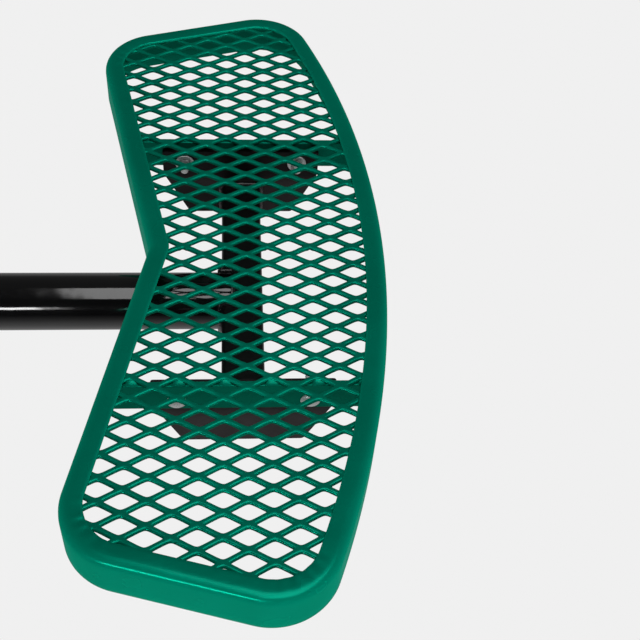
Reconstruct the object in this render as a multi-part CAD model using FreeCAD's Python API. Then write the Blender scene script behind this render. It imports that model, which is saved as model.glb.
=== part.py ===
import FreeCAD, Part
import math
import os

from FreeCAD import Vector

# Cantilever bench seat on a tube arm, as fitted round a circular picnic table.
# Millimetres. Origin: centre of the arm's plain end. +X runs along the arm to the
# seat, +Y along the seat, +Z up. A sitter faces the table (-X), so the right hand
# side is +Y and the left is -Y. The seat is symmetric about the XZ plane.

# Arm: a round tube that is notched over the crossbar.
arm_diameter = 63.5
arm_wall = 3.9
arm_reach = 300.0          # plain end to the crossbar's centre line
arm_notch_lap = 10.0       # how far the notched end laps over and under the crossbar

# Crossbar: a square tube along the seat, between the bracket plates.
bar_size = 45.0
bar_wall = 3.0
bar_corner = 5.0

# Bracket plates: flat plates on edge, bolted to the ribs with a washer between.
plate_thickness = 6.0
plate_top_width = 182.0
plate_foot_width = 124.0
plate_side_height = 35.0
plate_corner = 3.0
plate_top_drop = 7.0       # top edge below the top edge of the rib

# Deck: a bent rim, an expanded mesh under its flange, two ribs on edge.
deck_rise = 83.0           # arm axis to the middle of the mesh
half_length = 410.0        # middle of the seat to the tip of either end
outer_reach = 151.5        # crossbar centre line to the outer edge
inner_reach = 99.0         # crossbar centre line to the notch of the inner edge
outer_radius = 1040.0      # arc of the outer edge
corner_radius = 65.0
leg_angle = 12.2           # each half of the inner edge, from the Y axis
end_angle = 16.0           # each end, from the X axis
notch_radius = 8.0
rim_height = 50.0
rim_thickness = 3.5
rim_bend = 7.0
flange_width = 22.0
mesh_lap = 10.0            # mesh hidden under the flange

mesh_thickness = 4.5
mesh_pitch_x = 45.0
mesh_pitch_y = 25.0
strand_width = 6.0
knuckle_cut = 0.93         # share of a pointed opening's height that stays open
mesh_shift_x = 4.6         # where the pattern falls on the seat
mesh_shift_y = 4.4
mesh_turn = -0.3           # degrees, the pattern against the rim

rib_spacing = 353.0
rib_thickness = 6.5
rib_height = 36.0
rib_end_gap = 0.2          # each end of a rib to the skirt, filled by its weld

# Fasteners: M8 round-head bolts and hexagon nuts through rib and plate, along Y.
bolt_diameter = 8.0
bolt_length = 30.0
bolt_spacing = 131.0
bolt_drop = 24.0           # bolt axis below the top edge of the rib
head_diameter = 21.0
head_height = 4.8
hex_size = 13.0
nut_height = 6.8
washer_diameter = 22.0
washer_thickness = 2.0
hole_clearance = 0.5       # radial, in plates, ribs and washers
thread_clearance = 0.05    # radial, bolt to nut

weld_leg = 5.0

# Levels and places that follow from the sizes above.
up = Vector(0, 0, 1)
along_x = Vector(1, 0, 0)
along_y = Vector(0, 1, 0)
arm_radius = arm_diameter / 2
bar_face_x = arm_reach - bar_size / 2
mesh_bottom = deck_rise - mesh_thickness / 2
flange_bottom = deck_rise + mesh_thickness / 2
deck_top = flange_bottom + rim_thickness
rib_top = mesh_bottom
plate_top = rib_top - plate_top_drop
plate_foot = -bar_size / 2
rib_inner_y = rib_spacing / 2 - rib_thickness / 2
rib_outer_y = rib_spacing / 2 + rib_thickness / 2
plate_outer_y = rib_inner_y - washer_thickness
plate_inner_y = plate_outer_y - plate_thickness
bolt_z = rib_top - bolt_drop


def polar(centre, radius, angle):
    return centre + Vector(radius * math.cos(angle), radius * math.sin(angle), 0)


def rim_path():
    """The left half of the rim's outer edge, from the inner notch to the middle of
    the outer edge. A line is (start, end, outward normal). An arc is (centre,
    radius, start angle, end angle, side), and side is 1 where the centre lies on
    the seat's side of the edge, -1 where it lies outside."""
    leg = math.radians(leg_angle)
    leg_turn = -math.pi - leg
    end_turn = -math.pi / 2 - math.radians(end_angle)
    leg_normal = polar(Vector(), 1, leg_turn)
    end_normal = polar(Vector(), 1, end_turn)
    notch = Vector(arm_reach - inner_reach, 0, 0)
    notch_centre = notch - Vector(notch_radius / math.cos(leg), 0, 0)
    arc_centre = Vector(arm_reach + outer_reach - outer_radius, 0, 0)

    corner_y = corner_radius - half_length
    reach = outer_radius - corner_radius
    outer_corner = Vector(arc_centre.x + math.sqrt(reach ** 2 - corner_y ** 2), corner_y, 0)
    outer_turn = math.atan2(corner_y, outer_corner.x - arc_centre.x)

    # The inner corner is one corner radius inside both the leg and the end.
    leg_level = leg_normal.dot(notch) - corner_radius
    end_level = end_normal.dot(outer_corner)
    cross = leg_normal.x * end_normal.y - leg_normal.y * end_normal.x
    inner_corner = Vector(
        (leg_level * end_normal.y - end_level * leg_normal.y) / cross,
        (end_level * leg_normal.x - leg_level * end_normal.x) / cross,
        0,
    )
    return {
        "notch": ("arc", notch_centre, notch_radius, 0.0, -leg, -1),
        "leg": (
            "line",
            notch_centre - leg_normal * notch_radius,
            inner_corner + leg_normal * corner_radius,
            leg_normal,
        ),
        "inner_corner": ("arc", inner_corner, corner_radius, leg_turn, end_turn, 1),
        "end": (
            "line",
            inner_corner + end_normal * corner_radius,
            outer_corner + end_normal * corner_radius,
            end_normal,
        ),
        "outer_corner": ("arc", outer_corner, corner_radius, end_turn, outer_turn, 1),
        "outer": ("arc", arc_centre, outer_radius, outer_turn, 0.0, 1),
    }


def offset_edge(segment, inset, level):
    """One edge of the outline, moved inwards by inset, at height level."""
    lift = up * level
    if segment[0] == "line":
        start, end, normal = segment[1:]
        return Part.LineSegment(start - normal * inset + lift, end - normal * inset + lift).toShape()
    centre, radius, first, last, side = segment[1:]
    radius -= side * inset
    points = [polar(centre, radius, turn) + lift for turn in (first, (first + last) / 2, last)]
    return Part.Arc(*points).toShape()


def outline(inset, level):
    """The face inside the seat's outline, moved inwards by inset."""
    half = [offset_edge(segment, inset, level) for segment in rim_path().values()]
    other = [edge.mirror(Vector(), along_y) for edge in half]
    return Part.Face(Part.Wire(Part.__sortEdges__(half + other)))


def mirrored(shape):
    return shape.mirror(Vector(), along_y)


def box(low, high):
    size = high - low
    return Part.makeBox(size.x, size.y, size.z, low)


def tube_along_x(radius, start, end):
    return Part.makeCylinder(radius, end - start, Vector(start, 0, 0), along_x)


# Deck

def rim_section(corner, inward):
    """The bent strip's section, with its outer corner at corner."""
    inner_bend = rim_bend - rim_thickness
    slant = math.sqrt(0.5)

    def at(across, down):
        return corner + inward * across - up * down

    def bend(radius):
        middle = rim_bend - radius * slant
        return Part.Arc(
            at(rim_bend - radius, rim_bend), at(middle, middle), at(rim_bend, rim_bend - radius)
        ).toShape()

    def line(first, second):
        return Part.LineSegment(at(*first), at(*second)).toShape()

    edges = [
        line((0, rim_height), (0, rim_bend)),
        bend(rim_bend),
        line((rim_bend, 0), (flange_width, 0)),
        line((flange_width, 0), (flange_width, rim_thickness)),
        line((flange_width, rim_thickness), (rim_bend, rim_thickness)),
        bend(inner_bend),
        line((rim_thickness, rim_bend), (rim_thickness, rim_height)),
        line((rim_thickness, rim_height), (0, rim_height)),
    ]
    return Part.Face(Part.Wire(Part.__sortEdges__(edges)))


def rim_run(segment):
    """The rim's section carried along one line or arc of the outline."""
    lift = up * deck_top
    if segment[0] == "line":
        start, end, normal = segment[1:]
        return rim_section(start + lift, -normal).extrude(end - start)
    centre, radius, first, last, side = segment[1:]
    outward = polar(Vector(), 1, first)
    section = rim_section(centre + outward * radius + lift, -outward * side)
    return section.revolve(centre, up, math.degrees(last - first))


def joined(shapes):
    return shapes[0].fuse(shapes[1:]).removeSplitter()


def rim_rails():
    path = rim_path()
    leg = joined([rim_run(path["notch"]), rim_run(path["leg"])])
    end = joined([rim_run(path[name]) for name in ("inner_corner", "end", "outer_corner")])
    outer_half = rim_run(path["outer"])
    return {
        "rim_inner_left": leg,
        "rim_inner_right": mirrored(leg),
        "rim_end_left": end,
        "rim_end_right": mirrored(end),
        "rim_outer": joined([outer_half, mirrored(outer_half)]),
    }


def mesh_opening(centre_x, centre_y):
    """One diamond opening, blunt at the knuckles above and below it."""
    slope = math.hypot(2 / mesh_pitch_x, 2 / mesh_pitch_y)
    share = 1 - strand_width / 2 * slope
    tip_x = mesh_pitch_x / 2 * share
    tip_y = mesh_pitch_y / 2 * share
    flat_x = tip_x * (1 - knuckle_cut)
    flat_y = tip_y * knuckle_cut
    corners = [
        (tip_x, 0), (flat_x, flat_y), (-flat_x, flat_y),
        (-tip_x, 0), (-flat_x, -flat_y), (flat_x, -flat_y),
    ]
    points = [Vector(centre_x + x, centre_y + y, mesh_bottom) for x, y in corners]
    return Part.Face(Part.makePolygon(points + points[:1]))


def seat_mesh():
    sheet = outline(flange_width - mesh_lap, mesh_bottom)
    bounds = sheet.BoundBox
    origin_x = arm_reach + mesh_shift_x
    first_column = math.floor((bounds.XMin - origin_x) / mesh_pitch_x * 2) - 1
    last_column = math.ceil((bounds.XMax - origin_x) / mesh_pitch_x * 2) + 1
    first_row = math.floor((bounds.YMin - mesh_shift_y) / mesh_pitch_y * 2) - 1
    last_row = math.ceil((bounds.YMax - mesh_shift_y) / mesh_pitch_y * 2) + 1
    openings = [
        mesh_opening(origin_x + column * mesh_pitch_x / 2, mesh_shift_y + row * mesh_pitch_y / 2)
        for column in range(first_column, last_column + 1)
        for row in range(first_row, last_row + 1)
        if (column + row) % 2 == 0
    ]
    pattern = Part.makeCompound(openings)
    pattern.rotate(Vector(origin_x, mesh_shift_y, mesh_bottom), up, mesh_turn)
    strands = sheet.cut(pattern)
    largest = max(strands.Faces, key=lambda face: face.Area)
    return largest.extrude(up * mesh_thickness)


def bolt_places():
    return [arm_reach + side * bolt_spacing / 2 for side in (-1, 1)]


def bolt_holes():
    radius = bolt_diameter / 2 + hole_clearance
    start_y = -rib_outer_y
    return [
        Part.makeCylinder(radius, rib_outer_y - plate_inner_y, Vector(x, start_y, bolt_z), along_y)
        for x in bolt_places()
    ]


def rib_left():
    """A flat bar on edge under the mesh, cut to fit between the rim's skirts."""
    inside = outline(rim_thickness + rib_end_gap, rib_top - rib_height).extrude(up * rib_height)
    bounds = inside.BoundBox
    bar = box(
        Vector(bounds.XMin - 1, -rib_outer_y, rib_top - rib_height),
        Vector(bounds.XMax + 1, -rib_inner_y, rib_top),
    )
    return inside.common(bar).cut(bolt_holes())


# Frame

def bracket_plate_left():
    """Wide at the top, where it is bolted, and narrower down at the crossbar."""
    top = plate_top_width / 2
    foot = plate_foot_width / 2
    side_z = plate_top - plate_side_height
    corners = [(-top, plate_top), (top, plate_top), (top, side_z), (foot, plate_foot),
               (-foot, plate_foot), (-top, side_z)]
    points = [Vector(arm_reach + x, -plate_outer_y, z) for x, z in corners]
    plate = Part.Face(Part.makePolygon(points + points[:1])).extrude(along_y * plate_thickness)
    edges = [edge for edge in plate.Edges if abs(edge.tangentAt(edge.FirstParameter).y) > 0.9]
    return plate.makeFillet(plate_corner, edges).cut(bolt_holes())


def square_bar(size, corner, start_y, end_y):
    half = size / 2
    bar = box(Vector(arm_reach - half, start_y, -half), Vector(arm_reach + half, end_y, half))
    edges = [edge for edge in bar.Edges if abs(edge.tangentAt(edge.FirstParameter).y) > 0.9]
    return bar.makeFillet(corner, edges)


def crossbar():
    outer = square_bar(bar_size, bar_corner, -plate_inner_y, plate_inner_y)
    inner = square_bar(
        bar_size - 2 * bar_wall, bar_corner - bar_wall / 2, -plate_inner_y, plate_inner_y
    )
    return outer.cut(inner)


def arm_tube():
    """The arm's far end laps over and under the crossbar, notched to its size."""
    end = bar_face_x + arm_notch_lap
    tube = tube_along_x(arm_radius, 0, end).cut(tube_along_x(arm_radius - arm_wall, 0, end))
    return tube.cut(square_bar(bar_size, bar_corner, -arm_diameter, arm_diameter))


def arm_weld():
    """Fillets at the crossbar's face, and a closing bead over and under it."""
    bar = square_bar(bar_size, bar_corner, -arm_diameter, arm_diameter)
    slab = box(
        Vector(0, -arm_diameter, -bar_size / 2 + bar_corner),
        Vector(arm_reach, arm_diameter, bar_size / 2 - bar_corner),
    )
    end = bar_face_x + arm_notch_lap
    collar = Part.makeCone(
        arm_radius, arm_radius + weld_leg, weld_leg, Vector(bar_face_x - weld_leg, 0, 0), along_x
    )
    sides = collar.cut(tube_along_x(arm_radius, 0, end)).common(slab)
    closing = Part.makeCone(arm_radius, arm_radius - weld_leg, weld_leg, Vector(end, 0, 0), along_x)
    return Part.makeCompound(sides.Solids + closing.cut(bar).Solids)


def bar_weld_left():
    """A fillet round the crossbar's end, on the three sides that the plate backs."""
    start = -plate_inner_y

    def ring(size, y):
        half = size / 2
        points = [Vector(arm_reach + x * half, y, z * half)
                  for x, z in ((-1, -1), (1, -1), (1, 1), (-1, 1), (-1, -1))]
        return Part.makePolygon(points)

    wedge = Part.makeLoft([ring(bar_size + 2 * weld_leg, start), ring(bar_size, start + weld_leg)],
                          True, True)
    above_foot = box(
        Vector(arm_reach - bar_size, start, plate_foot),
        Vector(arm_reach + bar_size, start + weld_leg, bar_size),
    )
    bar = square_bar(bar_size, bar_corner, start, start + weld_leg)
    return wedge.common(above_foot).cut(bar)


# Fasteners

def disc(radius, x, start_y, end_y):
    return Part.makeCylinder(radius, end_y - start_y, Vector(x, start_y, bolt_z), along_y)


def domed_head(x, seat_y):
    """The outer part of a ball, on the bolt's axis, standing on the plane at seat_y."""
    edge = head_diameter / 2
    ball = (edge ** 2 + head_height ** 2) / (2 * head_height)
    centre = Vector(x, seat_y - head_height + ball, bolt_z)
    return Part.makeSphere(ball, centre).common(disc(edge, x, seat_y - head_height, seat_y))


def hexagon(x, start_y, end_y):
    radius = hex_size / math.sqrt(3)
    points = [
        Vector(x + radius * math.sin(turn), start_y, bolt_z + radius * math.cos(turn))
        for turn in (math.radians(60 * side) for side in range(7))
    ]
    return Part.Face(Part.makePolygon(points)).extrude(along_y * (end_y - start_y))


def fasteners_left():
    """Heads outside the rib, nuts on the plate, one set at each bolt hole. A washer
    lies under each nut, and one between the rib and the plate."""
    shank = bolt_diameter / 2
    hole = shank + hole_clearance
    head_seat = -rib_outer_y
    nut_seat = -plate_inner_y + washer_thickness
    kinds = {"bolts": [], "spacer_washers": [], "nut_washers": [], "nuts": []}
    for x in bolt_places():
        head = domed_head(x, head_seat)
        kinds["bolts"].append(head.fuse(disc(shank, x, head_seat, head_seat + bolt_length)))
        for name, start in (("spacer_washers", -rib_inner_y), ("nut_washers", -plate_inner_y)):
            end = start + washer_thickness
            ring = disc(washer_diameter / 2, x, start, end).cut(disc(hole, x, start, end))
            kinds[name].append(ring)
        end = nut_seat + nut_height
        thread = disc(shank + thread_clearance, x, nut_seat, end)
        kinds["nuts"].append(hexagon(x, nut_seat, end).cut(thread))
    return {name: Part.makeCompound(shapes) for name, shapes in kinds.items()}


def parts():
    nodes = rim_rails()
    nodes["seat_mesh"] = seat_mesh()
    nodes["crossbar"] = crossbar()
    nodes["arm_tube"] = arm_tube()
    nodes["arm_weld"] = arm_weld()
    paired = {
        "rib": rib_left(),
        "bracket_plate": bracket_plate_left(),
        "bar_weld": bar_weld_left(),
        **fasteners_left(),
    }
    for name, shape in paired.items():
        nodes[name + "_left"] = shape
        nodes[name + "_right"] = mirrored(shape)
    return nodes


os.makedirs("parts", exist_ok=True)
for name, shape in parts().items():
    shape.exportStep("parts/" + name + ".step")
    print(name, len(shape.Solids), round(shape.Volume), shape.isValid())
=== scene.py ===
import math

import bmesh
import bpy
from mathutils import Matrix, Vector, noise


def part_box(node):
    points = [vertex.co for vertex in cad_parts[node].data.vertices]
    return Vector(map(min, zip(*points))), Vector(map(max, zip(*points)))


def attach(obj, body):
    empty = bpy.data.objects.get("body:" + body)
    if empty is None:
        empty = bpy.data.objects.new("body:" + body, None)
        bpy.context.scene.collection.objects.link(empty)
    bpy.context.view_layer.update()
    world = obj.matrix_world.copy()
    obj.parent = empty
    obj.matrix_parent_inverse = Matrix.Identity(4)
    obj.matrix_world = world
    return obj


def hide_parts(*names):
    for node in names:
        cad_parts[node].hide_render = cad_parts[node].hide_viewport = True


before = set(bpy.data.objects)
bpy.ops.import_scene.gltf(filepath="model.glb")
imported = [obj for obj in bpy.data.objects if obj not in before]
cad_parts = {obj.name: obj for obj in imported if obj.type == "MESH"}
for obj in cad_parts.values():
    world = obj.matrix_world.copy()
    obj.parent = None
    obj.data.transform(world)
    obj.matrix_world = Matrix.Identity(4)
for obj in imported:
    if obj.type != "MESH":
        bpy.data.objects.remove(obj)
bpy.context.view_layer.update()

# Bench seat of coated expanded metal on a black tube arm. Metres; +X runs along the arm
# to the seat, +Y along the seat, +Z up, and everything rides on the one body.

sides = {"left": -1, "right": 1}


# camera, lights and floor

studio = dict(
    cameraPlace=(0.2894, -0.8372, 0.9595), cameraTurn=(40.206, -3.175, -3.069), lens=63.79,
    floorZ=-0.42, floorSize=30.0, floorTone=0.871,
)

camera = bpy.data.objects.new("camera", bpy.data.cameras.new("camera"))
bpy.context.scene.collection.objects.link(camera)
camera.location = studio["cameraPlace"]
camera.rotation_euler = [math.radians(a) for a in studio["cameraTurn"]]
camera.data.lens = studio["lens"]
camera.data.sensor_width = 36.0
camera.data.clip_end = 60.0
bpy.context.scene.camera = camera
bpy.context.scene.view_settings.view_transform = "Standard"
bpy.context.scene.view_settings.look = "None"


def softbox(name, place, aim, width, depth, power, inGloss=True, inDiffuse=True):
    lamp = bpy.data.lights.new(name, "AREA")
    lamp.shape = "RECTANGLE"
    lamp.size, lamp.size_y = width, depth
    lamp.energy = power
    light = bpy.data.objects.new(name, lamp)
    bpy.context.scene.collection.objects.link(light)
    light.location = place
    light.rotation_euler = (Vector(aim) - Vector(place)).to_track_quat("-Z", "Y").to_euler()
    light.visible_camera = False
    light.visible_glossy = inGloss
    light.visible_diffuse = inDiffuse
    return light


seatMiddle = (0.3, 0.0, 0.08)
softbox("overheadLight", (1.3, -1.32, 6.1), (1.3, -1.32, 0.0), 4.2, 5.2, 285.0)
softbox("leftLight", (-2.5, -2.3, 0.24), seatMiddle, 1.8, 0.3, 108.0, inGloss=False)
softbox("rightLight", (3.0, -2.3, 0.24), seatMiddle, 1.8, 0.3, 122.0, inGloss=False)
softbox("frontLight", (0.2, -3.1, 0.22), seatMiddle, 2.2, 0.3, 20.0, inGloss=False)
softbox("stripLight", (-0.97, -2.6, 0.98), (-0.97, 0.0, 0.0), 1.2, 0.4, 36.0, inDiffuse=False)

world = bpy.data.worlds.new("room")
world.use_nodes = True
bpy.context.scene.world = world
tree = world.node_tree
tree.nodes.clear()
direction = tree.nodes.new("ShaderNodeTexCoord")
axes = tree.nodes.new("ShaderNodeSeparateXYZ")
tree.links.new(direction.outputs["Generated"], axes.inputs[0])


# grey tones from straight down (0) through the horizon (0.5) to straight up (1)
def roomTones(stops):
    height = tree.nodes.new("ShaderNodeMapRange")
    height.inputs["From Min"].default_value = -1.0
    tree.links.new(axes.outputs["Z"], height.inputs["Value"])
    ramp = tree.nodes.new("ShaderNodeValToRGB")
    while len(ramp.color_ramp.elements) > 1:
        ramp.color_ramp.elements.remove(ramp.color_ramp.elements[0])
    for index, (spot, tone) in enumerate(stops):
        stop = ramp.color_ramp.elements[0] if index == 0 else ramp.color_ramp.elements.new(spot)
        stop.position, stop.color = spot, (tone, tone, tone, 1.0)
    tree.links.new(height.outputs["Result"], ramp.inputs["Fac"])
    return ramp


behind = roomTones(((0.0, 0.45), (0.35, 0.4), (0.5, 0.36), (0.54, 0.32), (0.6, 0.15), (1.0, 0.1)))
front = roomTones(((0.0, 0.65), (0.12, 0.6), (0.27, 0.26), (0.42, 0.01), (1.0, 0.01)))
depthShare = tree.nodes.new("ShaderNodeMapRange")
depthShare.inputs["From Min"].default_value = -0.3
depthShare.inputs["From Max"].default_value = 0.3
tree.links.new(axes.outputs["Y"], depthShare.inputs["Value"])
blend = tree.nodes.new("ShaderNodeMix")
blend.data_type = "RGBA"
tree.links.new(depthShare.outputs["Result"], blend.inputs["Factor"])
tree.links.new(front.outputs["Color"], blend.inputs[6])
tree.links.new(behind.outputs["Color"], blend.inputs[7])
glow = tree.nodes.new("ShaderNodeBackground")
out = tree.nodes.new("ShaderNodeOutputWorld")
tree.links.new(blend.outputs[2], glow.inputs["Color"])
tree.links.new(glow.outputs["Background"], out.inputs["Surface"])

bm = bmesh.new()
bmesh.ops.create_grid(bm, x_segments=1, y_segments=1, size=studio["floorSize"])
bmesh.ops.translate(bm, verts=bm.verts, vec=(0, 0, studio["floorZ"]))
floorMesh = bpy.data.meshes.new("floor")
bm.to_mesh(floorMesh)
bm.free()
floor = bpy.data.objects.new("floor", floorMesh)
bpy.context.scene.collection.objects.link(floor)
floor.visible_glossy = False
floor.visible_diffuse = False
floor.visible_shadow = False
paper = bpy.data.materials.new("palePaper")
paper.use_nodes = True
paper.node_tree.nodes.clear()
lit = paper.node_tree.nodes.new("ShaderNodeEmission")
lit.inputs["Color"].default_value = (studio["floorTone"],) * 3 + (1.0,)
paperOut = paper.node_tree.nodes.new("ShaderNodeOutputMaterial")
paper.node_tree.links.new(lit.outputs[0], paperOut.inputs["Surface"])
floorMesh.materials.append(paper)
print("studio ready")


# finishes: two colours mixed in clouds, a roughness that drifts, and layered bumps

def surface(name, look):
    material = bpy.data.materials.new(name)
    material.use_nodes = True
    nodes, links = material.node_tree.nodes, material.node_tree.links
    shader = nodes["Principled BSDF"]
    for socket, value in look["sockets"].items():
        shader.inputs[socket].default_value = value
    spot = nodes.new("ShaderNodeTexCoord")

    def cloud(scale, detail=2.0, roughness=0.5):
        texture = nodes.new("ShaderNodeTexNoise")
        texture.inputs["Scale"].default_value = scale
        texture.inputs["Detail"].default_value = detail
        texture.inputs["Roughness"].default_value = roughness
        links.new(spot.outputs["Object"], texture.inputs["Vector"])
        return texture

    tones = nodes.new("ShaderNodeValToRGB")
    for element, colour in zip(tones.color_ramp.elements, look["colours"]):
        element.color = (*colour, 1.0)
    tones.color_ramp.elements[0].position = 0.35
    tones.color_ramp.elements[1].position = 0.65
    links.new(cloud(look["colourScale"], 3.0).outputs["Fac"], tones.inputs["Fac"])
    links.new(tones.outputs["Color"], shader.inputs["Base Color"])

    spread = nodes.new("ShaderNodeMapRange")
    spread.inputs["From Min"].default_value = 0.3
    spread.inputs["From Max"].default_value = 0.7
    spread.inputs["To Min"].default_value = look["roughness"][0]
    spread.inputs["To Max"].default_value = look["roughness"][1]
    links.new(cloud(look["roughScale"], 2.0).outputs["Fac"], spread.inputs["Value"])
    links.new(spread.outputs["Result"], shader.inputs["Roughness"])

    last = None
    for scale, detail, depth in look["bumps"]:
        bump = nodes.new("ShaderNodeBump")
        bump.inputs["Strength"].default_value = 1.0
        bump.inputs["Distance"].default_value = depth
        links.new(cloud(scale, detail).outputs["Fac"], bump.inputs["Height"])
        if last:
            links.new(last.outputs["Normal"], bump.inputs["Normal"])
        last = bump
    links.new(last.outputs["Normal"], shader.inputs["Normal"])
    return material


finishes = dict(
    coatedGreen=dict(
        colours=((0.0, 0.160, 0.100), (0.0, 0.184, 0.115)), colourScale=9.0,
        roughness=(0.23, 0.29), roughScale=30.0,
        bumps=((26.0, 1.0, 0.0006), (170.0, 2.0, 0.00008)),
        sockets={"Metallic": 0.35, "Specular IOR Level": 0.0, "Specular Tint": (0.02, 1.0, 0.72, 1.0),
                 "Coat Weight": 0.02, "Coat Roughness": 0.07, "Coat IOR": 1.45},
    ),
    glossBlack=dict(
        colours=((0.0016, 0.0016, 0.0018), (0.0028, 0.0028, 0.003)), colourScale=14.0,
        roughness=(0.06, 0.10), roughScale=40.0,
        bumps=((60.0, 1.0, 0.0001), (900.0, 2.0, 0.00001)),
        sockets={"Specular IOR Level": 0.5},
    ),
    satinBlack=dict(
        colours=((0.0018, 0.0018, 0.0019), (0.0032, 0.003, 0.0031)), colourScale=14.0,
        roughness=(0.28, 0.38), roughScale=40.0,
        bumps=((60.0, 1.0, 0.00012), (900.0, 2.0, 0.00002)),
        sockets={"Specular IOR Level": 0.35},
    ),
    weldBlack=dict(
        colours=((0.003, 0.003, 0.0033), (0.006, 0.006, 0.0065)), colourScale=80.0,
        roughness=(0.18, 0.30), roughScale=120.0,
        bumps=((420.0, 2.0, 0.0003), (1500.0, 2.0, 0.00004)),
        sockets={"Specular IOR Level": 0.5},
    ),
    powderBlack=dict(
        colours=((0.0075, 0.0068, 0.007), (0.0105, 0.0096, 0.0098)), colourScale=22.0,
        roughness=(0.42, 0.55), roughScale=60.0,
        bumps=((90.0, 2.0, 0.0001), (1400.0, 2.0, 0.00003)),
        sockets={"Specular IOR Level": 0.12},
    ),
    brightZinc=dict(
        colours=((0.84, 0.85, 0.86), (0.97, 0.97, 0.97)), colourScale=160.0,
        roughness=(0.22, 0.38), roughScale=500.0,
        bumps=((700.0, 3.0, 0.00003), (2500.0, 2.0, 0.00001)),
        sockets={"Metallic": 0.2},
    ),
    dullZinc=dict(
        colours=((0.06, 0.06, 0.063), (0.62, 0.62, 0.63)), colourScale=300.0,
        roughness=(0.22, 0.42), roughScale=600.0,
        bumps=((500.0, 3.0, 0.00006), (2200.0, 2.0, 0.00002)),
        sockets={"Metallic": 0.3},
    ),
)
finish = {name: surface(name, look) for name, look in finishes.items()}


# moves everything in other into bm
def absorb(bm, other):
    passed = bpy.data.meshes.new("passed")
    other.to_mesh(passed)
    other.free()
    bm.from_mesh(passed)
    bpy.data.meshes.remove(passed)


# flats: large flat or straight faces keep their own normals beside small roundings
def makePiece(name, bm, finishName, stands=(), sharpAngle=35.0, flats=False):
    mesh = bpy.data.meshes.new(name)
    bm.to_mesh(mesh)
    bm.free()
    mesh.materials.append(finish[finishName])
    mesh.shade_smooth()
    if sharpAngle:
        mesh.set_sharp_from_angle(angle=math.radians(sharpAngle))
    piece = bpy.data.objects.new(name, mesh)
    bpy.context.scene.collection.objects.link(piece)
    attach(piece, "root")
    if stands:
        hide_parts(*stands)
    if flats:
        shading = piece.modifiers.new("shading", "WEIGHTED_NORMAL")
        shading.keep_sharp = True
    return piece


# rim: one bent strip swept round the seat, top flange inwards

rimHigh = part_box("rim_outer")[1]
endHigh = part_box("rim_end_right")[1]
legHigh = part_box("rim_inner_left")[1]

rim = dict(
    legAngle=math.radians(12.2), endAngle=math.radians(16.0), notchRadius=0.008,
    cornerRadius=0.065, outerRadius=1.04, flange=0.022,
    puckerDepth=0.0011, puckerCount=5.5, puckerStart=0.007, puckerReach=0.023,
    legSteps=10, endSteps=8, cornerSteps=44, outerSteps=44,
)
# the bent strip's section, as (in from the outer face, down from the top), in millimetres
rimSection = (
    (0.0, 48.4), (0.0, 38.0), (0.0, 26.0), (0.0, 15.0), (0.0, 9.5), (0.25, 7.0), (0.9, 4.9),
    (1.9, 3.2), (3.3, 1.9), (5.0, 0.95), (7.0, 0.38), (9.5, 0.1), (12.0, 0.0), (14.5, 0.0),
    (17.0, 0.0), (19.0, 0.05), (20.6, 0.15), (21.5, 0.6), (22.0, 1.5), (21.8, 2.6), (21.0, 3.3),
    (19.0, 3.5), (15.0, 3.5), (11.5, 3.6), (8.0, 4.1), (5.6, 5.2), (4.1, 7.0), (3.5, 9.8),
    (3.5, 20.0), (3.5, 34.0), (3.5, 48.4), (3.0, 49.5), (1.75, 50.0), (0.5, 49.5),
)


def allOf(bm):
    return bm.verts[:] + bm.edges[:] + bm.faces[:]


def polar(centre, radius, turn):
    return Vector((centre[0] + radius * math.cos(turn), centre[1] + radius * math.sin(turn), 0.0))


def rimPath():
    leg, end = rim["legAngle"], rim["endAngle"]
    corner, outer = rim["cornerRadius"], rim["outerRadius"]
    legTurn, endTurn = -math.pi - leg, -math.pi / 2 - end
    legOut, endOut = polar((0, 0), 1.0, legTurn), polar((0, 0), 1.0, endTurn)
    notchCentre = Vector((legHigh.x - rim["flange"] - rim["notchRadius"], 0, 0))
    notch = notchCentre + Vector((rim["notchRadius"] / math.cos(leg), 0, 0))
    arcCentre = Vector((rimHigh.x - outer, 0, 0))
    cornerY = corner - endHigh.y
    cornerX = arcCentre.x + math.sqrt((outer - corner) ** 2 - cornerY ** 2)
    outerCorner = Vector((cornerX, cornerY, 0))
    outerTurn = math.atan2(cornerY, outerCorner.x - arcCentre.x)
    legLevel = legOut.dot(notch) - corner
    endLevel = endOut.dot(outerCorner)
    cross = legOut.x * endOut.y - legOut.y * endOut.x
    innerCorner = Vector((
        (legLevel * endOut.y - endLevel * legOut.y) / cross,
        (endLevel * legOut.x - legLevel * endOut.x) / cross, 0))
    return dict(
        notchCentre=notchCentre, arcCentre=arcCentre,
        innerCorner=innerCorner, outerCorner=outerCorner,
        legTurn=legTurn, endTurn=endTurn, outerTurn=outerTurn, legOut=legOut, endOut=endOut,
        legRun=innerCorner + legOut * corner - (notchCentre - legOut * rim["notchRadius"]),
        endRun=outerCorner - innerCorner,
    )


path = rimPath()
corners = [(path[name], side) for name in ("innerCorner", "outerCorner") for side in (1, -1)]


def sweepTurn(bm, ring, centre, angle, steps, axis=(0, 0, 1)):
    made = bmesh.ops.spin(bm, geom=ring, cent=centre, axis=axis, angle=angle, steps=steps)
    return made["geom_last"]


def sweepRun(bm, ring, run, steps):
    for step in range(steps):
        edges = [e for e in ring if isinstance(e, bmesh.types.BMEdge)]
        made = bmesh.ops.extrude_edge_only(bm, edges=edges)["geom"]
        verts = [v for v in made if isinstance(v, bmesh.types.BMVert)]
        bmesh.ops.translate(bm, verts=verts, vec=run / steps)
        ring = verts + [e for e in made if isinstance(e, bmesh.types.BMEdge)
                        and e.verts[0] in verts and e.verts[1] in verts]
    return ring


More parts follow.
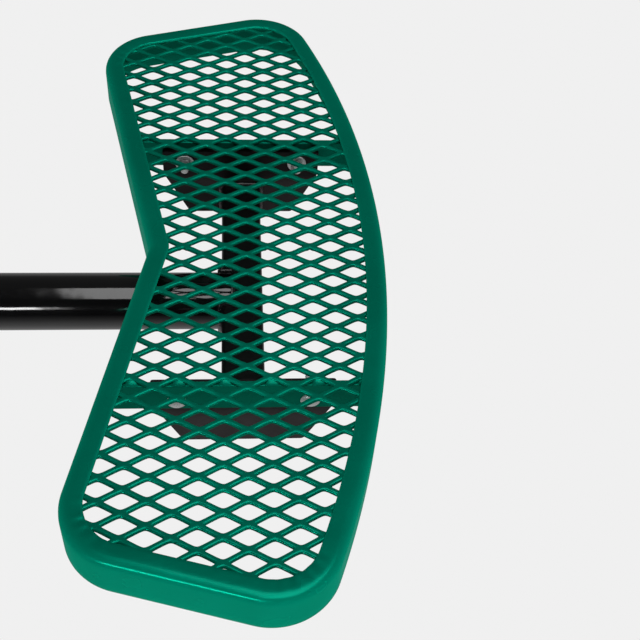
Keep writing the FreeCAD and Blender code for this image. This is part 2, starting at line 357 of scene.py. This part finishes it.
def sectionRing(bm, section, x, top):
    verts = [bm.verts.new((x + across / 1000, 0.0, top - down / 1000)) for across, down in section]
    edges = [bm.edges.new((a, b)) for a, b in zip(verts, verts[1:] + verts[:1])]
    return verts + edges


bm = bmesh.new()
ring = sectionRing(bm, rimSection, path["notchCentre"].x + rim["notchRadius"], rimHigh.z)
ring = sweepTurn(bm, ring, path["notchCentre"], -rim["legAngle"], 5)
ring = sweepRun(bm, ring, path["legRun"], rim["legSteps"])
ring = sweepTurn(bm, ring, path["innerCorner"], path["endTurn"] - path["legTurn"],
                 rim["cornerSteps"])
ring = sweepRun(bm, ring, path["endRun"], rim["endSteps"])
ring = sweepTurn(bm, ring, path["outerCorner"], path["outerTurn"] - path["endTurn"],
                 rim["cornerSteps"])
ring = sweepTurn(bm, ring, path["arcCentre"], -path["outerTurn"], rim["outerSteps"])
bmesh.ops.mirror(bm, geom=allOf(bm), axis="Y", merge_dist=1e-5)
bmesh.ops.recalc_face_normals(bm, faces=bm.faces)

# the bending has gathered the flange into shallow radial puckers at the corners
flangeFloor = rimHigh.z - 0.0045
for v in bm.verts:
    for centre, side in corners:
        spoke = Vector((v.co.x - centre.x, v.co.y - side * centre.y, 0))
        reach = rim["cornerRadius"] - spoke.length
        if v.co.z < flangeFloor or not 0.0 <= reach <= rim["puckerReach"]:
            continue
        turn = math.atan2(spoke.y * side, spoke.x)
        first, last = ((path["legTurn"] + 2 * math.pi, path["endTurn"] + 2 * math.pi)
                       if centre is path["innerCorner"] else (path["endTurn"], path["outerTurn"]))
        share = ((turn - first) % (2 * math.pi)) / (last - first)
        if share > 1.0:
            continue
        fade = math.sin(math.pi * share) ** 0.7
        depth = max(0.0, (reach - rim["puckerStart"]) / (rim["flange"] - rim["puckerStart"])) ** 1.3
        key = Vector((centre.x * 31, side * 7.0, share * 3.0))
        wave = math.sin(2 * math.pi * rim["puckerCount"] * share + 2.5 * noise.noise(key))
        strength = 0.65 + 0.6 * noise.noise(key * 2.1)
        v.co.z -= rim["puckerDepth"] * fade * depth * strength * (0.5 + 0.5 * wave)
rimNodes = ("rim_outer", "rim_inner_left", "rim_inner_right", "rim_end_left", "rim_end_right")
makePiece("seatRim", bm, "coatedGreen", rimNodes, 50.0)
print("rim done")


# expanded metal: one diamond cell repeated, then cut to the seat's outline

net = dict(
    pitchX=0.045, pitchY=0.025, columns=7, rows=34,
    shiftX=0.0046, shiftY=0.0044, turn=math.radians(-0.3),
    thick=0.0045, lap=0.010, armReach=0.300, knuckleTilt=math.radians(4.0), knuckleSpan=0.0105,
    shares=(0.0, 0.17, 0.40, 0.60, 0.83, 1.0),
    opening=((15.4, 0.0), (14.2, 1.15), (10.6, 3.18), (6.6, 5.40), (2.9, 7.42), (0.0, 8.5)),
)
meshLow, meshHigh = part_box("seat_mesh")
netZ = (meshLow.z + meshHigh.z) / 2
netOrigin = Vector((net["armReach"] + net["shiftX"], net["shiftY"], netZ))


def edgePlanes(inset, side):
    reach = rim["cornerRadius"] - inset
    planes = [(path["innerCorner"] + path["legOut"] * reach, path["legOut"]),
              (path["innerCorner"] + path["endOut"] * reach, path["endOut"])]
    arcs = ((path["innerCorner"], rim["cornerRadius"], path["legTurn"], path["endTurn"], 8),
            (path["outerCorner"], rim["cornerRadius"], path["endTurn"], path["outerTurn"], 8),
            (path["arcCentre"], rim["outerRadius"], path["outerTurn"], 0.0, 14))
    for centre, radius, first, last, count in arcs:
        for step in range(count + 1):
            turn = first + (last - first) * step / count
            outward = polar((0, 0), 1.0, turn)
            planes.append((centre + outward * (radius - inset), outward))
    flip = Matrix.Diagonal((1, -side, 1))
    return [(flip @ point, flip @ outward) for point, outward in planes]


def netCell(bm):
    halfX, halfY = net["pitchX"] / 2, net["pitchY"] / 2
    inner = [bm.verts.new((x / 1000, y / 1000, 0)) for x, y in net["opening"]]
    outer = [bm.verts.new((halfX * (1 - share), halfY * share, 0)) for share in net["shares"]]
    edges = [bm.edges.new(pair) for chain in (inner, outer) for pair in zip(chain, chain[1:])]
    bmesh.ops.bridge_loops(bm, edges=edges)
    for axis in "XY":
        bmesh.ops.mirror(bm, geom=allOf(bm), axis=axis, merge_dist=1e-6)
    return allOf(bm)


def halfNet(side):
    bm = bmesh.new()
    cell = netCell(bm)
    for column in range(-net["columns"], net["columns"] + 1):
        for row in range(-net["rows"], net["rows"] + 1):
            x, y = column * net["pitchX"] / 2, row * net["pitchY"] / 2
            if (column + row) % 2 or side * y < -net["pitchY"]:
                continue
            copy = bmesh.ops.duplicate(bm, geom=cell)["geom"]
            verts = [v for v in copy if isinstance(v, bmesh.types.BMVert)]
            bmesh.ops.translate(bm, verts=verts, vec=(x, y, 0))
    first = [v for v in cell if isinstance(v, bmesh.types.BMVert)]
    bmesh.ops.delete(bm, geom=first, context="VERTS")
    bmesh.ops.remove_doubles(bm, verts=bm.verts, dist=2e-5)
    for v in bm.verts:
        column = round(v.co.x / (net["pitchX"] / 2))
        nearest = None
        for c in (column - 1, column, column + 1):
            row = v.co.y / (net["pitchY"] / 2)
            r = 2 * round((row - (c + 1) % 2) / 2) + (c + 1) % 2
            dx, dy = v.co.x - c * net["pitchX"] / 2, v.co.y - r * net["pitchY"] / 2
            if nearest is None or dx * dx + 3 * dy * dy < nearest[0]:
                nearest = (dx * dx + 3 * dy * dy, dx, dy)
        reach = max(0.0, 1.0 - abs(nearest[1]) / net["knuckleSpan"])
        v.co.z -= math.tan(net["knuckleTilt"]) * nearest[2] * reach ** 0.5
    bmesh.ops.rotate(bm, verts=bm.verts, cent=(0, 0, 0),
                     matrix=Matrix.Rotation(net["turn"], 3, "Z"))
    bmesh.ops.translate(bm, verts=bm.verts, vec=netOrigin)
    middle = (Vector((0, 0, 0)), Vector((0, -side, 0)))
    for point, outward in edgePlanes(rim["flange"] - net["lap"], side) + [middle]:
        bmesh.ops.bisect_plane(bm, geom=allOf(bm), dist=1e-6,
                               plane_co=point, plane_no=outward, clear_outer=True)
    return bm


bm = halfNet(-1)
absorb(bm, halfNet(1))
bmesh.ops.remove_doubles(bm, verts=bm.verts, dist=2e-5)
bmesh.ops.recalc_face_normals(bm, faces=bm.faces)
if sum(f.normal.z for f in bm.faces) < 0:
    bmesh.ops.reverse_faces(bm, faces=bm.faces)
seatNet = makePiece("seatNet", bm, "coatedGreen", ("seat_mesh",), 0)
wall = seatNet.modifiers.new("thickness", "SOLIDIFY")
wall.thickness = net["thick"]
wall.offset = 0.0
rounding = seatNet.modifiers.new("rounding", "SUBSURF")
rounding.levels = rounding.render_levels = 1
print("net done")

# frame: arm tube, crossbar, plates and their welds

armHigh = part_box("arm_tube")[1]
barLow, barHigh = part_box("crossbar")
armTube = dict(wall=0.0039, facets=128, endRound=0.0007)


def vertsOf(geom):
    return [v for v in geom if isinstance(v, bmesh.types.BMVert)]


def edgesOf(verts):
    return list({e for v in verts for e in v.link_edges})


def closed(bm):
    bmesh.ops.remove_doubles(bm, verts=bm.verts, dist=1e-6)
    bmesh.ops.holes_fill(bm, edges=bm.edges, sides=0)
    bmesh.ops.recalc_face_normals(bm, faces=bm.faces)


# one skin of the arm, notched where the crossbar passes
def armSkin(radius):
    skin = bmesh.new()
    rim0 = bmesh.ops.create_circle(skin, segments=armTube["facets"], radius=radius,
                                   matrix=Matrix.Rotation(math.pi / 2, 4, "Y"))["verts"]
    far = vertsOf(bmesh.ops.extrude_edge_only(skin, edges=edgesOf(rim0))["geom"])
    bmesh.ops.translate(skin, verts=far, vec=(armHigh.x, 0, 0))
    for point, normal in ((Vector((barLow.x, 0, 0)), (1, 0, 0)),
                          (Vector((0, 0, barHigh.z)), (0, 0, 1)),
                          (Vector((0, 0, barLow.z)), (0, 0, 1))):
        bmesh.ops.bisect_plane(skin, geom=allOf(skin), dist=1e-7,
                               plane_co=point, plane_no=normal)
    cut = [f for f in skin.faces if f.calc_center_median().x > barLow.x
           and barLow.z < f.calc_center_median().z < barHigh.z]
    bmesh.ops.delete(skin, geom=cut, context="FACES")
    return skin


bm = armSkin(armHigh.z)
absorb(bm, armSkin(armHigh.z - armTube["wall"]))
for nearEnd in (True, False):
    edges = [e for e in bm.edges if e.is_boundary and (e.verts[0].co.x < 0.1) == nearEnd]
    bmesh.ops.bridge_loops(bm, edges=edges)
lip = [e for e in bm.edges if all(v.co.x < 1e-6 for v in e.verts)
       and abs(e.verts[0].co.length - e.verts[1].co.length) < 1e-5]
bmesh.ops.bevel(bm, geom=lip, offset=armTube["endRound"], segments=2, profile=0.5,
                affect="EDGES", material=-1)
bmesh.ops.recalc_face_normals(bm, faces=bm.faces)
makePiece("armTube", bm, "glossBlack", ("arm_tube",), flats=True)

crossbar = dict(wall=0.003, corner=0.005, cornerSteps=6)
bm = bmesh.new()
half = (barHigh.x - barLow.x) / 2
bmesh.ops.create_grid(bm, x_segments=1, y_segments=1, size=half)
bmesh.ops.rotate(bm, verts=bm.verts, cent=(0, 0, 0), matrix=Matrix.Rotation(math.pi / 2, 3, "X"))
bmesh.ops.translate(bm, verts=bm.verts, vec=(barLow.x + half, barLow.y, 0))
bmesh.ops.bevel(bm, geom=bm.verts[:], offset=crossbar["corner"], segments=crossbar["cornerSteps"],
                profile=0.5, affect="VERTICES", material=-1)
core = bm.faces[:]
bmesh.ops.inset_region(bm, faces=core, thickness=crossbar["wall"], use_even_offset=True,
                       use_boundary=True)
bmesh.ops.delete(bm, geom=core, context="FACES")
grown = bmesh.ops.extrude_face_region(bm, geom=bm.faces[:])["geom"]
bmesh.ops.translate(bm, verts=vertsOf(grown), vec=(0, barHigh.y - barLow.y, 0))
bmesh.ops.recalc_face_normals(bm, faces=bm.faces)
makePiece("crossbar", bm, "satinBlack", ("crossbar",), flats=True)

plate = dict(topHalf=0.091, footHalf=0.062, sideHeight=0.035, corner=0.003, edgeRound=0.0008)


def buildPlate(bm, side, low, high):
    middle = (low.x + high.x) / 2
    sideZ = high.z - plate["sideHeight"]
    outline = ((-plate["topHalf"], high.z), (plate["topHalf"], high.z), (plate["topHalf"], sideZ),
               (plate["footHalf"], low.z), (-plate["footHalf"], low.z), (-plate["topHalf"], sideZ))
    bm.faces.new([bm.verts.new((middle + x, low.y, z)) for x, z in outline])
    bmesh.ops.bevel(bm, geom=bm.verts[:], offset=plate["corner"], segments=5, profile=0.5,
                    affect="VERTICES", material=-1)
    grown = bmesh.ops.extrude_face_region(bm, geom=bm.faces[:])["geom"]
    bmesh.ops.translate(bm, verts=vertsOf(grown), vec=(0, high.y - low.y, 0))
    bmesh.ops.recalc_face_normals(bm, faces=bm.faces)
    rims = [e for e in bm.edges if abs(e.verts[0].co.y - e.verts[1].co.y) < 1e-6]
    bmesh.ops.bevel(bm, geom=rims, offset=plate["edgeRound"], segments=2, profile=0.5,
                    affect="EDGES", material=-1)


# welds: round beads along a path, roughened into ripples
weld = dict(bead=0.0034, facets=12, ripple=0.0005, rippleSize=330.0)


def beadStart(bm, place, turn):
    return bmesh.ops.create_circle(bm, segments=weld["facets"], radius=weld["bead"],
                                   matrix=Matrix.Translation(place) @ turn)["verts"]


def roughen(bm, depth, size):
    bm.normal_update()
    for v in bm.verts:
        v.co += v.normal * depth * noise.noise(v.co * size)


def buildBarWeld(bm, side, low, high):
    reach = weld["bead"] * 0.35
    y = side * (abs(barHigh.y) - reach)
    left, right, top = barLow.x - reach, barHigh.x + reach, barHigh.z + reach
    corner = crossbar["corner"]
    foot = barLow.z + 0.001
    ring = beadStart(bm, (left, y, foot), Matrix.Identity(4))
    ring = ring + edgesOf(ring)
    ring = sweepRun(bm, ring, Vector((0, 0, barHigh.z - corner - foot)), 26)
    ring = sweepTurn(bm, ring, (barLow.x + corner, y, barHigh.z - corner), math.pi / 2, 8, (0, 1, 0))
    ring = sweepRun(bm, ring, Vector((barHigh.x - barLow.x - 2 * corner, 0, 0)), 24)
    ring = sweepTurn(bm, ring, (barHigh.x - corner, y, barHigh.z - corner), math.pi / 2, 8, (0, 1, 0))
    sweepRun(bm, ring, Vector((0, 0, foot - barHigh.z + corner)), 26)
    closed(bm)
    roughen(bm, weld["ripple"], weld["rippleSize"])


def buildArmWeld():
    bm = bmesh.new()
    notch = math.asin(barHigh.z / armHigh.z)
    sunk = weld["bead"] * 0.35
    flat = Matrix.Rotation(math.pi / 2, 4, "X")
    # over and under the crossbar, round each lip's end
    for sign in (1, -1):
        start = Vector((armHigh.x + sunk, 0, sign * (armHigh.z - weld["bead"] - weld["ripple"])))
        swing = math.pi / 2 - notch
        placed = Matrix.Rotation(swing, 4, "X") @ start
        ring = beadStart(bm, placed, Matrix.Rotation(swing, 4, "X") @ flat)
        sweepTurn(bm, ring + edgesOf(ring), (0, 0, 0), -2 * swing, 36, (1, 0, 0))
    # on the crossbar's face, down both sides of the arm
    for sign in (1, -1):
        start = Vector((barLow.x - sunk, sign * (armHigh.z + sunk), 0))
        placed = Matrix.Rotation(notch, 4, "X") @ start
        ring = beadStart(bm, placed, Matrix.Rotation(notch, 4, "X"))
        sweepTurn(bm, ring + edgesOf(ring), (0, 0, 0), -2 * notch, 40, (1, 0, 0))
    # along each lip's two edges
    for sign in (1, -1):
        for across in (1, -1):
            y = across * math.sqrt(armHigh.z ** 2 - barHigh.z ** 2)
            ring = beadStart(bm, (barLow.x - sunk, y + across * sunk, sign * (barHigh.z + sunk)),
                             Matrix.Rotation(math.pi / 2, 4, "Y"))
            sweepRun(bm, ring + edgesOf(ring), Vector((armHigh.x - barLow.x + 2 * sunk, 0, 0)), 8)
    closed(bm)
    roughen(bm, weld["ripple"], weld["rippleSize"])
    return bm


makePiece("armWeld", buildArmWeld(), "weldBlack", ("arm_weld",), 60.0)


def makePair(name, node, build, finishName, sharpAngle=35.0, flats=True):
    for label, side in sides.items():
        bm = bmesh.new()
        build(bm, side, *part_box(node + "_" + label))
        makePiece(name + label.capitalize(), bm, finishName, (node + "_" + label,),
                  sharpAngle, flats)


makePair("bracketPlate", "bracket_plate", buildPlate, "powderBlack")
makePair("barWeld", "bar_weld", buildBarWeld, "weldBlack", 60.0, False)
print("frame done")


# ribs: flat bars on edge between the skirts, with a weld at every knuckle they carry

rib = dict(edgeRound=0.0011, skirtGap=0.0037, weldPitch=0.045, weldStart=0.19215, weldCount=6,
           weldRound=0.0008, weldRipple=0.0004, weldRippleSize=260.0)
# each knuckle weld, as (across the rib, height): foot, crest and root, in millimetres from
# the rib's middle and top, and its widths
ribWelds = {
    "left": (((-3.2, -0.1), (2.1, 4.0), (4.0, 0.0), 15.5, 7.0, 9.0),
             ((3.0, -5.0), (7.2, 0.7), (3.0, 0.6), 12.0, 8.0, 9.0)),
    "right": (((-3.1, -4.6), (-0.4, 1.9), (1.5, -0.4), 15.5, 7.0, 9.0),
              ((3.0, -4.0), (5.2, 0.8), (3.0, 0.6), 13.0, 8.0, 9.0)),
}


def buildRib(bm, side, low, high):
    bmesh.ops.create_cube(bm, size=1.0)
    size = Vector((high.x - low.x + 0.02, high.y - low.y, high.z - low.z))
    bmesh.ops.scale(bm, verts=bm.verts, vec=size)
    bmesh.ops.translate(bm, verts=bm.verts, vec=(low + high) / 2)
    flip = Matrix.Diagonal((1, -side, 1))
    middleY = (low.y + high.y) / 2
    outerTurn = math.asin(-abs(middleY) / rim["outerRadius"])
    outward = polar((0, 0), 1.0, outerTurn)
    legReach = rim["cornerRadius"] - rib["skirtGap"]
    outerReach = rim["outerRadius"] - rib["skirtGap"]
    ends = ((path["innerCorner"] + path["legOut"] * legReach, path["legOut"]),
            (path["arcCentre"] + outward * outerReach, outward))
    for point, normal in ends:
        bmesh.ops.bisect_plane(bm, geom=allOf(bm), dist=1e-7,
                               plane_co=flip @ point, plane_no=flip @ normal, clear_outer=True)
        bmesh.ops.holes_fill(bm, edges=bm.edges, sides=0)
    bmesh.ops.bevel(bm, geom=bm.edges[:], offset=rib["edgeRound"], segments=3, profile=0.5,
                    affect="EDGES", material=-1)
    bmesh.ops.recalc_face_normals(bm, faces=bm.faces)


def ribWeldPiece(label, side):
    low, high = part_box("rib_" + label)
    middleY = (low.y + high.y) / 2
    bm = bmesh.new()
    for index in range(rib["weldCount"]):
        x = rib["weldStart"] + index * rib["weldPitch"]
        for foot, crest, root, footWide, crestWide, rootWide in ribWelds[label]:
            lump = bmesh.new()
            spots = [lump.verts.new((0, middleY + across / 1000, high.z + up / 1000))
                     for across, up in (foot, crest, root)]
            lump.faces.new(spots)
            grown = bmesh.ops.extrude_face_region(lump, geom=lump.faces[:])["geom"]
            bmesh.ops.translate(lump, verts=vertsOf(grown), vec=(1, 0, 0))
            widths = ((foot, footWide), (crest, crestWide), (root, rootWide))
            for v in lump.verts:
                at = ((v.co.y - middleY) * 1000, (v.co.z - high.z) * 1000)
                wide = min(((at[0] - across) ** 2 + (at[1] - up) ** 2, wide)
                           for (across, up), wide in widths)[1]
                v.co.x = x + (v.co.x - 0.5) * wide / 1000
            bmesh.ops.recalc_face_normals(lump, faces=lump.faces)
            bmesh.ops.bevel(lump, geom=lump.edges[:], offset=rib["weldRound"], segments=3,
                            profile=0.5, affect="EDGES", material=-1)
            roughen(lump, rib["weldRipple"], rib["weldRippleSize"])
            absorb(bm, lump)
    makePiece("ribWelds" + label.capitalize(), bm, "coatedGreen", (), 60.0)


makePair("rib", "rib", buildRib, "coatedGreen")
for label, side in sides.items():
    ribWeldPiece(label, side)
print("ribs done")


# fasteners: lengths run outwards from the rib's outer face, in millimetres

fastener = dict(halfSpacing=0.0655, flat=6.5, chamferFrom=6.0, chamferSlope=0.577, facets=60,
                threadTop=-17.0, threadEnd=-29.1, threadPitch=1.25, threadStep=0.3125, threadDepth=0.7,
                turns={"left": (0.22, 0.71), "right": (-0.15, 0.46)})
headProfile = ((4.8, 0.0), (4.7, 1.7), (4.35, 3.5), (3.75, 5.3), (2.9, 7.1), (1.8, 8.7), (0.8, 9.8),
               (0.35, 10.1), (0.0, 10.0), (0.0, 4.0), (-16.9, 4.0)) + tuple(
    (fastener["threadTop"] - fastener["threadStep"] * step, 4.0) for step in range(39)) + (
    (-29.3, 4.0), (-30.0, 3.3), (-30.0, 0.0))
washerProfile = ((0.0, 4.5), (0.0, 10.6), (0.4, 11.0), (1.6, 11.0), (2.0, 10.6), (2.0, 4.5))
nutProfile = ((-16.5, 4.6), (-16.5, 6.0), (-16.7, 6.5), (-23.1, 6.5), (-23.3, 6.0), (-23.3, 4.6),
              (-22.7, 4.05), (-17.1, 4.05))


# spins a profile about the bolt's axis, and shapes it as a hexagon where it is widest
def turned(profile, isRing, hexTurn=None):
    made = bmesh.new()
    spots = [made.verts.new((radius / 1000, 0, along / 1000)) for along, radius in profile]
    pairs = zip(spots, spots[1:] + (spots[:1] if isRing else []))
    edges = [made.edges.new(pair) for pair in pairs]
    bmesh.ops.spin(made, geom=spots + edges, cent=(0, 0, 0), axis=(0, 0, 1), angle=2 * math.pi,
                   steps=fastener["facets"], use_merge=True)
    bmesh.ops.remove_doubles(made, verts=made.verts, dist=1e-6)
    if hexTurn is not None:
        flat = fastener["flat"] / 1000
        levels = sorted(v.co.z for v in made.verts if math.hypot(v.co.x, v.co.y) > flat - 1e-6)
        for v in made.verts:
            reach = math.hypot(v.co.x, v.co.y)
            if reach < flat - 1e-6:
                continue
            turn = (math.atan2(v.co.y, v.co.x) + hexTurn) % (math.pi / 3) - math.pi / 6
            wide = flat / math.cos(turn)
            v.co.x, v.co.y = v.co.x * wide / reach, v.co.y * wide / reach
            drop = fastener["chamferSlope"] * (wide - fastener["chamferFrom"] / 1000)
            if abs(v.co.z - levels[-1]) < 1e-6:
                v.co.z += 0.0002 - drop
            elif abs(v.co.z - levels[0]) < 1e-6 and isRing:
                v.co.z += drop - 0.0002
    bmesh.ops.recalc_face_normals(made, faces=made.faces)
    return made


def cutThread(made):
    for v in made.verts:
        along, reach = v.co.z * 1000, math.hypot(v.co.x, v.co.y)
        if fastener["threadEnd"] < along < fastener["threadTop"] and reach > 0.0039:
            turns = math.atan2(v.co.y, v.co.x) / (2 * math.pi)
            phase = (along / fastener["threadPitch"] - turns) % 1.0
            depth = fastener["threadDepth"] * (1 - abs(2 * phase - 1)) / 1000
            v.co.x, v.co.y = v.co.x * (1 - depth / reach), v.co.y * (1 - depth / reach)


def fastenerPiece(name, node, profile, isRing, hexed, threaded, lift, finishName):
    for label, side in sides.items():
        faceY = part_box("rib_" + label)[0 if side < 0 else 1].y
        boltZ = sum(corner.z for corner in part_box("nut_washers_" + label)) / 2
        middleX = sum(corner.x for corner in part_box("crossbar")) / 2
        bm = bmesh.new()
        for index, x in enumerate((-fastener["halfSpacing"], fastener["halfSpacing"])):
            made = turned(profile, isRing, fastener["turns"][label][index] if hexed else None)
            if threaded:
                cutThread(made)
            bmesh.ops.rotate(made, verts=made.verts, cent=(0, 0, 0),
                             matrix=Matrix.Rotation(-side * math.pi / 2, 3, "X"))
            bmesh.ops.translate(made, verts=made.verts,
                                vec=(middleX + x, faceY + side * lift / 1000, boltZ))
            absorb(bm, made)
        makePiece(name + label.capitalize(), bm, finishName, (node + "_" + label,),
                  30.0, True)


fastenerPiece("bolts", "bolts", headProfile, False, False, True, 0.0, "brightZinc")
fastenerPiece("spacerWashers", "spacer_washers", washerProfile, True, False, False, -8.5,
              "brightZinc")
fastenerPiece("nutWashers", "nut_washers", washerProfile, True, False, False, -16.5, "brightZinc")
fastenerPiece("nuts", "nuts", nutProfile, True, True, False, 0.0, "dullZinc")
print("fasteners done")
